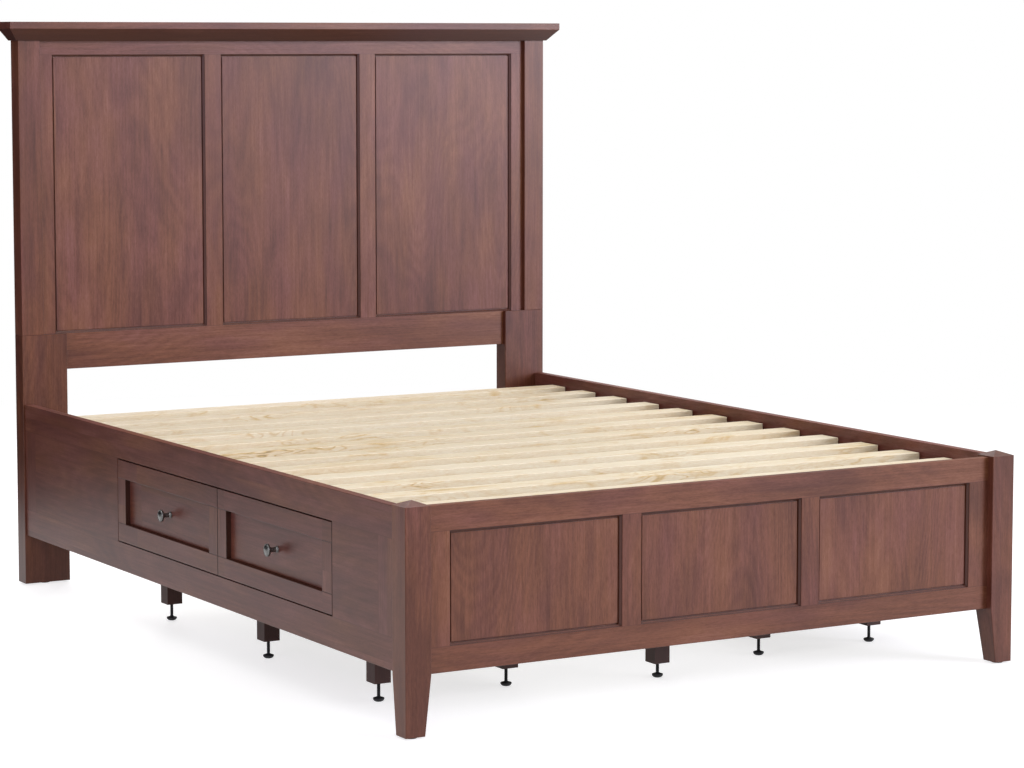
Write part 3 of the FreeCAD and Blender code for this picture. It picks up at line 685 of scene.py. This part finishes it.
def drawer_member_place(middle, half_y, half_z):
    """Coordinates for a drawer front whose stiles, beside the opening, have upright grain."""

    def place_of(tree, place):
        x, y, z = add_node(tree, "SeparateXYZ", {0: place}).outputs
        beside_opening = calc(tree, "GREATER_THAN", distance_from(tree, y, middle[Y]), half_y)
        within_height = calc(tree, "LESS_THAN", distance_from(tree, z, middle[Z]), half_z)
        stile = calc(tree, "MULTIPLY", beside_opening, within_height)
        across = add_node(tree, "CombineXYZ", {0: x, 1: y, 2: z}).outputs[0]
        upright = add_node(tree, "CombineXYZ", {0: x, 1: z, 2: y}).outputs[0]
        return mix(tree, "VECTOR", stile, across, upright)

    return place_of


def drawer_wood(end):
    """Stained wood of the two drawer fronts at one end, framed round a recessed panel, with painted
    shade on the recess walls.
    """
    low, high, middle = sizes_of("drawer_front_left_" + end)
    half_y = (high[Y] - low[Y]) / 2 - DRAWER_MEMBER_WIDTH
    half_z = (high[Z] - low[Z]) / 2 - DRAWER_MEMBER_WIDTH
    edges = [(Y, low[Y]), (Y, high[Y]), (Z, low[Z]), (Z, high[Z])]
    # Painted shade: these dark lines cover the recess walls over their whole depth; the outer edges
    # above are dark joints
    edges += [(Y, middle[Y] + way * half_y, Z, middle[Z], half_z) for way in (-1, 1)]
    edges += [(Z, middle[Z] + way * half_z) for way in (-1, 1)]
    cell_height = 0.075
    return stained_wood(
        "Cherry drawer " + end, grain="Y", cells=(1.0, 0.5, cell_height),
        shift=(0, 0.2, cell_height / 2 - middle[Z]), tone=-0.02, warm=SIDE_WARMTH,
        place_of=drawer_member_place(middle, half_y, half_z), joints=edges,
        line=JointLine(cover=0.95, lightness=0.35))


class BED_OT_drawer_fronts(bpy.types.Operator):
    """Finish drawer fronts and boxes, and the zinc-plated slides, brackets and inserts"""

    bl_idname = "bed.drawer_fronts"
    bl_label = "Drawers"

    def execute(self, context):
        box_wood = plain_birch("Birch ply")
        zinc = plated_steel("Zinc plate")
        for end in ("head", "foot"):
            front = drawer_wood(end)
            for side in ("left", "right"):
                dress(f"drawer_front_{side}_{end}", front)
        for drawer in DRAWERS:
            dress("drawer_box_" + drawer, box_wood)
            dress("drawer_runners_" + drawer, zinc)
        for node in ("drawer_slide_channels", "corner_brackets", "leveler_inserts"):
            dress(node, zinc)
        return {"FINISHED"}


class BED_OT_slats_and_supports(bpy.types.Operator):
    """Finish the slats and the parts that carry them"""

    bl_idname = "bed.slats_and_supports"
    bl_label = "Slats and supports"

    def execute(self, context):
        dress("mattress_slats", bare_pine("Bare pine"))
        dress("support_legs", dark_hardwood(
            "Dark legs", grain="Z", cells=(0.3, 0.3, 0), shift=(0.15, 0.15, 0)))
        lengthwise = dark_hardwood(
            "Dark lengthwise", grain="Y", cells=(0.3, 0, 0), shift=(0.15, 0, 0))
        for node in ("slat_ledgers", "centre_beam", "drawer_case_base_rails", "drawer_case_backs"):
            dress(node, lengthwise)
        crosswise = dark_hardwood("Dark crosswise", grain="X", cells=(0, 0.3, 0))
        for node in ("head_cross_rail", "drawer_case_partitions"):
            dress(node, crosswise)
        return {"FINISHED"}


def new_object(name, data):
    """Object of some data, linked to the scene."""
    made = bpy.data.objects.new(name, data)
    bpy.context.scene.collection.objects.link(made)
    return made


def grid_mesh(name, points, material):
    """Smooth mesh over a grid of points (rows, columns, 3) whose columns close on themselves.

    Each quad joins row i to i + 1 and column j to j + 1, with the last column joined to the first.
    """
    rows, columns = points.shape[:2]
    index = np.arange(rows * columns).reshape(rows, columns)
    after = np.roll(index, -1, axis=1)
    quads = np.stack([index[:-1], after[:-1], after[1:], index[1:]], axis=-1).reshape(-1, 4)
    mesh = bpy.data.meshes.new(name)
    mesh.from_pydata(points.reshape(-1, 3).tolist(), [], quads.tolist())
    mesh.materials.append(material)
    mesh.polygons.foreach_set("use_smooth", np.ones(len(quads), dtype=bool))
    return new_object(name, mesh)


def flat_piece(name, corners, material):
    """One flat face over four corners."""
    mesh = bpy.data.meshes.new(name)
    mesh.from_pydata(corners, [], [(0, 1, 2, 3)])
    mesh.materials.append(material)
    return new_object(name, mesh)


def rounded_profile(rows, steps=5):
    """Profile through rows of (radius, height, rounding), with an arc at each corner between ends.

    An arc is the curve (1-t)^2 a + 2 t (1-t) corner + t^2 b, where a and b are the points on both
    sides at the rounding's distance from the corner.
    """
    rows = np.array(rows, float)
    corners, roundings = rows[:, :2], rows[1:-1, 2]
    t = np.linspace(0, 1, steps)[:, None]
    line = [corners[:1]]
    for before, corner, after, away in zip(corners[:-2], corners[1:-1], corners[2:], roundings):
        a = corner + (before - corner) / np.linalg.norm(before - corner) * away
        b = corner + (after - corner) / np.linalg.norm(after - corner) * away
        line.append((1 - t) ** 2 * a + 2 * t * (1 - t) * corner + t**2 * b)
    line.append(corners[-1:])
    return np.vstack(line)


def lathe(profile, columns):
    """Points (row, column, 3) of a profile turned about Z: (r cos a, r sin a, h)."""
    angle = np.arange(columns) * 2 * np.pi / columns
    radius, height = profile[:, :1], profile[:, 1:]
    return np.stack([radius * np.cos(angle), radius * np.sin(angle), height + 0 * angle], axis=-1)


def laid_over(points, side, start):
    """Turned points with their axis along X, pointing to a side, from a start."""
    x, y, z = points[..., 2] * side, points[..., 0], points[..., 1] * side
    return np.stack([x, y, z], axis=-1) + np.array(start)


def knob_profile(radius, reach, roll):
    """Rows of (radius, distance from the panel, rounding) of a mushroom knob."""
    return [
        # Stepped base
        (0.0, 0.0, 0.0),
        (0.0080, 0.0, 0.0006),
        (0.0080, 0.0018, 0.0003),
        (0.0069, 0.0024, 0.0003),
        (0.0067, 0.0040, 0.0005),
        (0.0057, 0.0052, 0.0006),
        # Neck
        (0.0053, 0.0110, 0.002),
        (0.0056, reach * 0.64, 0.002),
        # Cap with its rolled rim
        (radius * 0.80, reach * 0.70, 0.0016),
        (radius, reach * 0.755, roll),
        (radius, reach * 0.900, roll),
        (radius * 0.90, reach * 0.930, 0.0006),
        (radius * 0.82, reach * 0.915, 0.0006),
        (radius * 0.45, reach * 0.985, 0.003),
        (0.0, reach, 0.0),
    ]


def screw_profile(length):
    """Rows of (radius, distance from the head's top, rounding) of a screw with a domed head."""
    return [
        (0.0, 0.0, 0.0),
        (0.0032, 0.0, 0.0006),
        (0.0045, 0.0010, 0.0004),
        (0.0045, 0.0025, 0.0001),
        (0.0020, 0.0025, 0.0001),
        (0.0020, length, 0.0002),
        (0.0, length, 0.0),
    ]


def knob_screw(drawer, side, face, middle, finish):
    """The knob's screw: a domed head inside the drawer and a plain shank into the knob."""
    inside = sizes_of("drawer_knob_" + drawer)[0 if side > 0 else 1][X]
    into_knob = 0.004
    profile = rounded_profile(screw_profile(abs(face - inside) + into_knob), steps=3)
    points = laid_over(lathe(profile, columns=20), side, (inside, middle[Y], middle[Z]))
    return grid_mesh("knob_screw_" + drawer, points, finish)


class BED_OT_knobs(bpy.types.Operator):
    """Turn the four mushroom knobs, each with a stepped base, a rolled rim and its screw"""

    bl_idname = "bed.knobs"
    bl_label = "Knobs"

    def execute(self, context):
        roll = context.scene.bed_metal.rim_roll
        finish = pewter("Antique pewter")
        for drawer in DRAWERS:
            side = -1 if drawer.startswith("left") else 1
            outer = 1 if side > 0 else 0
            sizes = sizes_of("drawer_knob_" + drawer)
            low, high, middle = sizes
            face = sizes_of("drawer_front_" + drawer)[outer][X] - side * DRAWER_PANEL_RECESS
            reach = abs(sizes[outer][X] - face)
            rows = knob_profile((high[Z] - low[Z]) / 2, reach, roll)
            turned = lathe(rounded_profile(rows), columns=56)
            points = laid_over(turned, side, (face, middle[Y], middle[Z]))
            knob = grid_mesh("knob_" + drawer, points, finish)
            screw = knob_screw(drawer, side, face, middle, finish)
            for piece in (knob, screw):
                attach(piece, "drawer_" + drawer)
            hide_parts("drawer_knob_" + drawer)
        return {"FINISHED"}


def threaded_rod(radius, bottom, top, pitch, columns=20, steps_per_turn=6):
    """Points of a rod with a helical thread.

    radius(a, z) = r - depth (1 + cos(2 pi z / pitch - a)) / 2, which is one ridge that climbs a
    pitch per turn. The rod is closed by a row of points on its axis at each end.
    """
    rows = int((top - bottom) / pitch * steps_per_turn)
    z = np.linspace(bottom, top, rows)[:, None]
    angle = (np.arange(columns) * 2 * np.pi / columns)[None, :]
    depth = pitch * THREAD_DEPTH_SHARE
    ridge = radius - depth * (1 + np.cos(2 * np.pi * z / pitch - angle)) / 2
    wall = np.stack([ridge * np.cos(angle), ridge * np.sin(angle), z + 0 * angle], axis=-1)
    ends = np.zeros((2, columns, 3))
    ends[0, :, Z] = bottom
    ends[1, :, Z] = top
    return np.concatenate([ends[:1], wall, ends[1:]])


class BED_OT_levelers(bpy.types.Operator):
    """Thread the fourteen levelers and round their pads, and blacken the corner glides"""

    bl_idname = "bed.levelers"
    bl_label = "Levelers"

    def execute(self, context):
        pitch = context.scene.bed_metal.thread_pitch
        finish = black_coat("Black steel")
        pad = lathe(rounded_profile(PAD_PROFILE), columns=40)
        for node in sorted(NODES):
            if not node.startswith("leveler_") or node == "leveler_inserts":
                continue
            low, high, middle = sizes_of(node)
            spot = np.array([middle[X], middle[Y], low[Z]])
            thread = threaded_rod(ROD_RADIUS, ROD_FOOT, high[Z] - low[Z], pitch)
            foot = grid_mesh(node + "_pad", pad + spot, finish)
            rod = grid_mesh(node + "_rod", thread + spot, finish)
            for piece in (foot, rod):
                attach(piece, node)
            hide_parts(node)
        dress("corner_glides", black_coat("Black nylon"))
        return {"FINISHED"}


def seen_ray(tree):
    """1 for rays that carry a picture of the background.

    They are the camera's, and those off glosses and through clear pieces.
    """
    path = add_node(tree, "LightPath").outputs
    beyond = calc(tree, "MAXIMUM", path["Is Glossy Ray"], path["Is Transmission Ray"])
    return calc(tree, "MAXIMUM", path["Is Camera Ray"], beyond)


def sky_light(settings):
    """World: an even dim light, and plain white for the rays that carry a picture of it."""
    world = bpy.data.worlds.new("Studio")
    world.use_nodes = True
    tree = world.node_tree
    tree.nodes.clear()
    strength = mix(tree, "FLOAT", seen_ray(tree), settings.ambient, 1.0)
    light = add_node(tree, "Background", {"Color": WHITE, "Strength": strength})
    add_node(tree, "OutputWorld", {"Surface": light.outputs[0]})
    bpy.context.scene.world = world


def floor_piece():
    """Pale floor that keeps the bed's shadow, lifted a shade to the eye, and white far away."""
    material, tree, shader, output = new_material("Studio floor")
    grey = (0.5, 0.5, 0.5, 1.0)
    set_inputs(tree, shader, {"Base Color": grey, "Roughness": 0.7, "Specular IOR Level": 0.2})
    seen = seen_ray(tree)
    lift = calc(tree, "MULTIPLY", seen, FLOOR_LIFT)
    glow = add_node(tree, "Emission", {"Color": WHITE, "Strength": lift})
    lifted = add_node(tree, "AddShader", {0: shader.outputs[0], 1: glow.outputs[0]})
    plain = add_node(tree, "Emission", {"Color": WHITE, "Strength": 1.0})
    length = add_node(tree, "VectorMath", {0: object_place(tree)}, operation="LENGTH")
    far = fade(tree, length.outputs["Value"], *FLOOR_FADE, interpolation_type="SMOOTHSTEP")
    share = calc(tree, "MULTIPLY", far, seen)
    surface = add_node(tree, "MixShader", {"Fac": share, 1: lifted.outputs[0], 2: plain.outputs[0]})
    set_inputs(tree, output, {"Surface": surface.outputs[0]})
    half = FLOOR_HALF
    corners = [(-half, -half, 0), (half, -half, 0), (half, half, 0), (-half, half, 0)]
    floor = flat_piece("floor", corners, material)


def dark_card():
    """Dark card behind the bed, on the left, which only glosses see.

    It keeps the edges on that side from washing out.
    """
    material, tree, shader, _ = new_material("Dark card")
    near_black = (0.02, 0.02, 0.02, 1.0)
    set_inputs(tree, shader, {"Base Color": near_black, "Roughness": 0.9})
    corners = [
        (CARD_LEFT, CARD_Y, 0),
        (CARD_RIGHT, CARD_Y, 0),
        (CARD_RIGHT, CARD_Y, CARD_HEIGHT),
        (CARD_LEFT, CARD_Y, CARD_HEIGHT),
    ]
    card = flat_piece("card", corners, material)
    for kind in ("camera", "diffuse", "transmission", "shadow", "volume_scatter"):
        setattr(card, "visible_" + kind, False)


def soft_lamp(name, place, size, power, colour):
    """Large square lamp at a place, turned towards the bed."""
    data = bpy.data.lights.new(name, "AREA")
    data.shape = "SQUARE"
    data.size = size
    data.energy = power
    data.color = colour
    lamp = new_object(name, data)
    lamp.location = place
    away = np.array(place, float) - np.array(LAMP_AIM, float)
    turn = math.atan2(away[0], -away[1])
    tilt = math.atan2(math.hypot(away[0], away[1]), away[2])
    lamp.rotation_euler = (tilt, 0, turn)


def set_camera(lens):
    """Camera in front of the bed and to its left, looking slightly down."""
    data = bpy.data.cameras.new("camera")
    data.lens = lens
    data.sensor_width = 36.0
    data.shift_y = CAMERA_SHIFT
    data.clip_end = 100.0
    camera = new_object("camera", data)
    camera.location = CAMERA_PLACE
    camera.rotation_euler = (math.radians(90 - CAMERA_DOWN), 0, math.radians(CAMERA_TURN))
    bpy.context.scene.camera = camera


class BED_OT_stage(bpy.types.Operator):
    """Set camera, floor and light"""

    bl_idname = "bed.stage"
    bl_label = "Stage"

    def execute(self, context):
        settings = context.scene.bed_stage
        context.scene.view_settings.view_transform = "Standard"
        sky_light(settings)
        floor_piece()
        dark_card()
        high_window = settings.window * HIGH_WINDOW_SHARE
        # Name, place, size in metres, power and colour
        soft_lamp("overhead", (-0.6, 0.2, 6.5), 7.0, settings.overhead, PLAIN_LIGHT)
        soft_lamp("window", (7.6, -9.2, 3.4), 4.8, settings.window, COOL_LIGHT)
        soft_lamp("high window", (4.4, -5.6, 5.0), 4.8, high_window, COOL_LIGHT)
        soft_lamp("fill", (-3.0, -5.5, 3.0), 2.5, settings.fill, PLAIN_LIGHT)
        soft_lamp("back", (1.2, 5.8, 3.2), 4.0, settings.back, PLAIN_LIGHT)
        soft_lamp("side", (-5.7, -2.8, 2.8), 3.0, settings.side, VIOLET_LIGHT)
        set_camera(settings.lens)
        return {"FINISHED"}


STEPS = (
    BED_OT_stained_boards,
    BED_OT_drawer_fronts,
    BED_OT_slats_and_supports,
    BED_OT_knobs,
    BED_OT_levelers,
    BED_OT_stage,
)


class BED_PT_sidebar(bpy.types.Panel):
    """Every step of the bed, in order"""

    bl_idname = "BED_PT_sidebar"
    bl_label = "Platform storage bed"
    bl_space_type = "VIEW_3D"
    bl_region_type = "UI"
    bl_category = "Bed"

    def draw(self, context):
        scene = context.scene
        for group in (scene.bed_wood, scene.bed_metal, scene.bed_stage):
            box = self.layout.box()
            for name in group.__annotations__:
                box.prop(group, name)
        for step in STEPS:
            self.layout.operator(step.bl_idname)


CLASSES = (BedWoodSettings, BedMetalSettings, BedStageSettings, *STEPS, BED_PT_sidebar)


def register():
    for made in CLASSES:
        bpy.utils.register_class(made)
    bpy.types.Scene.bed_wood = PointerProperty(type=BedWoodSettings)
    bpy.types.Scene.bed_metal = PointerProperty(type=BedMetalSettings)
    bpy.types.Scene.bed_stage = PointerProperty(type=BedStageSettings)


def unregister():
    del bpy.types.Scene.bed_stage
    del bpy.types.Scene.bed_metal
    del bpy.types.Scene.bed_wood
    for made in reversed(CLASSES):
        bpy.utils.unregister_class(made)


def main():
    register()
    for step in STEPS:
        group, name = step.bl_idname.split(".")
        if getattr(getattr(bpy.ops, group), name)() != {"FINISHED"}:
            raise RuntimeError(step.bl_label + " didn't finish")


if __name__ == "__main__":
    main()
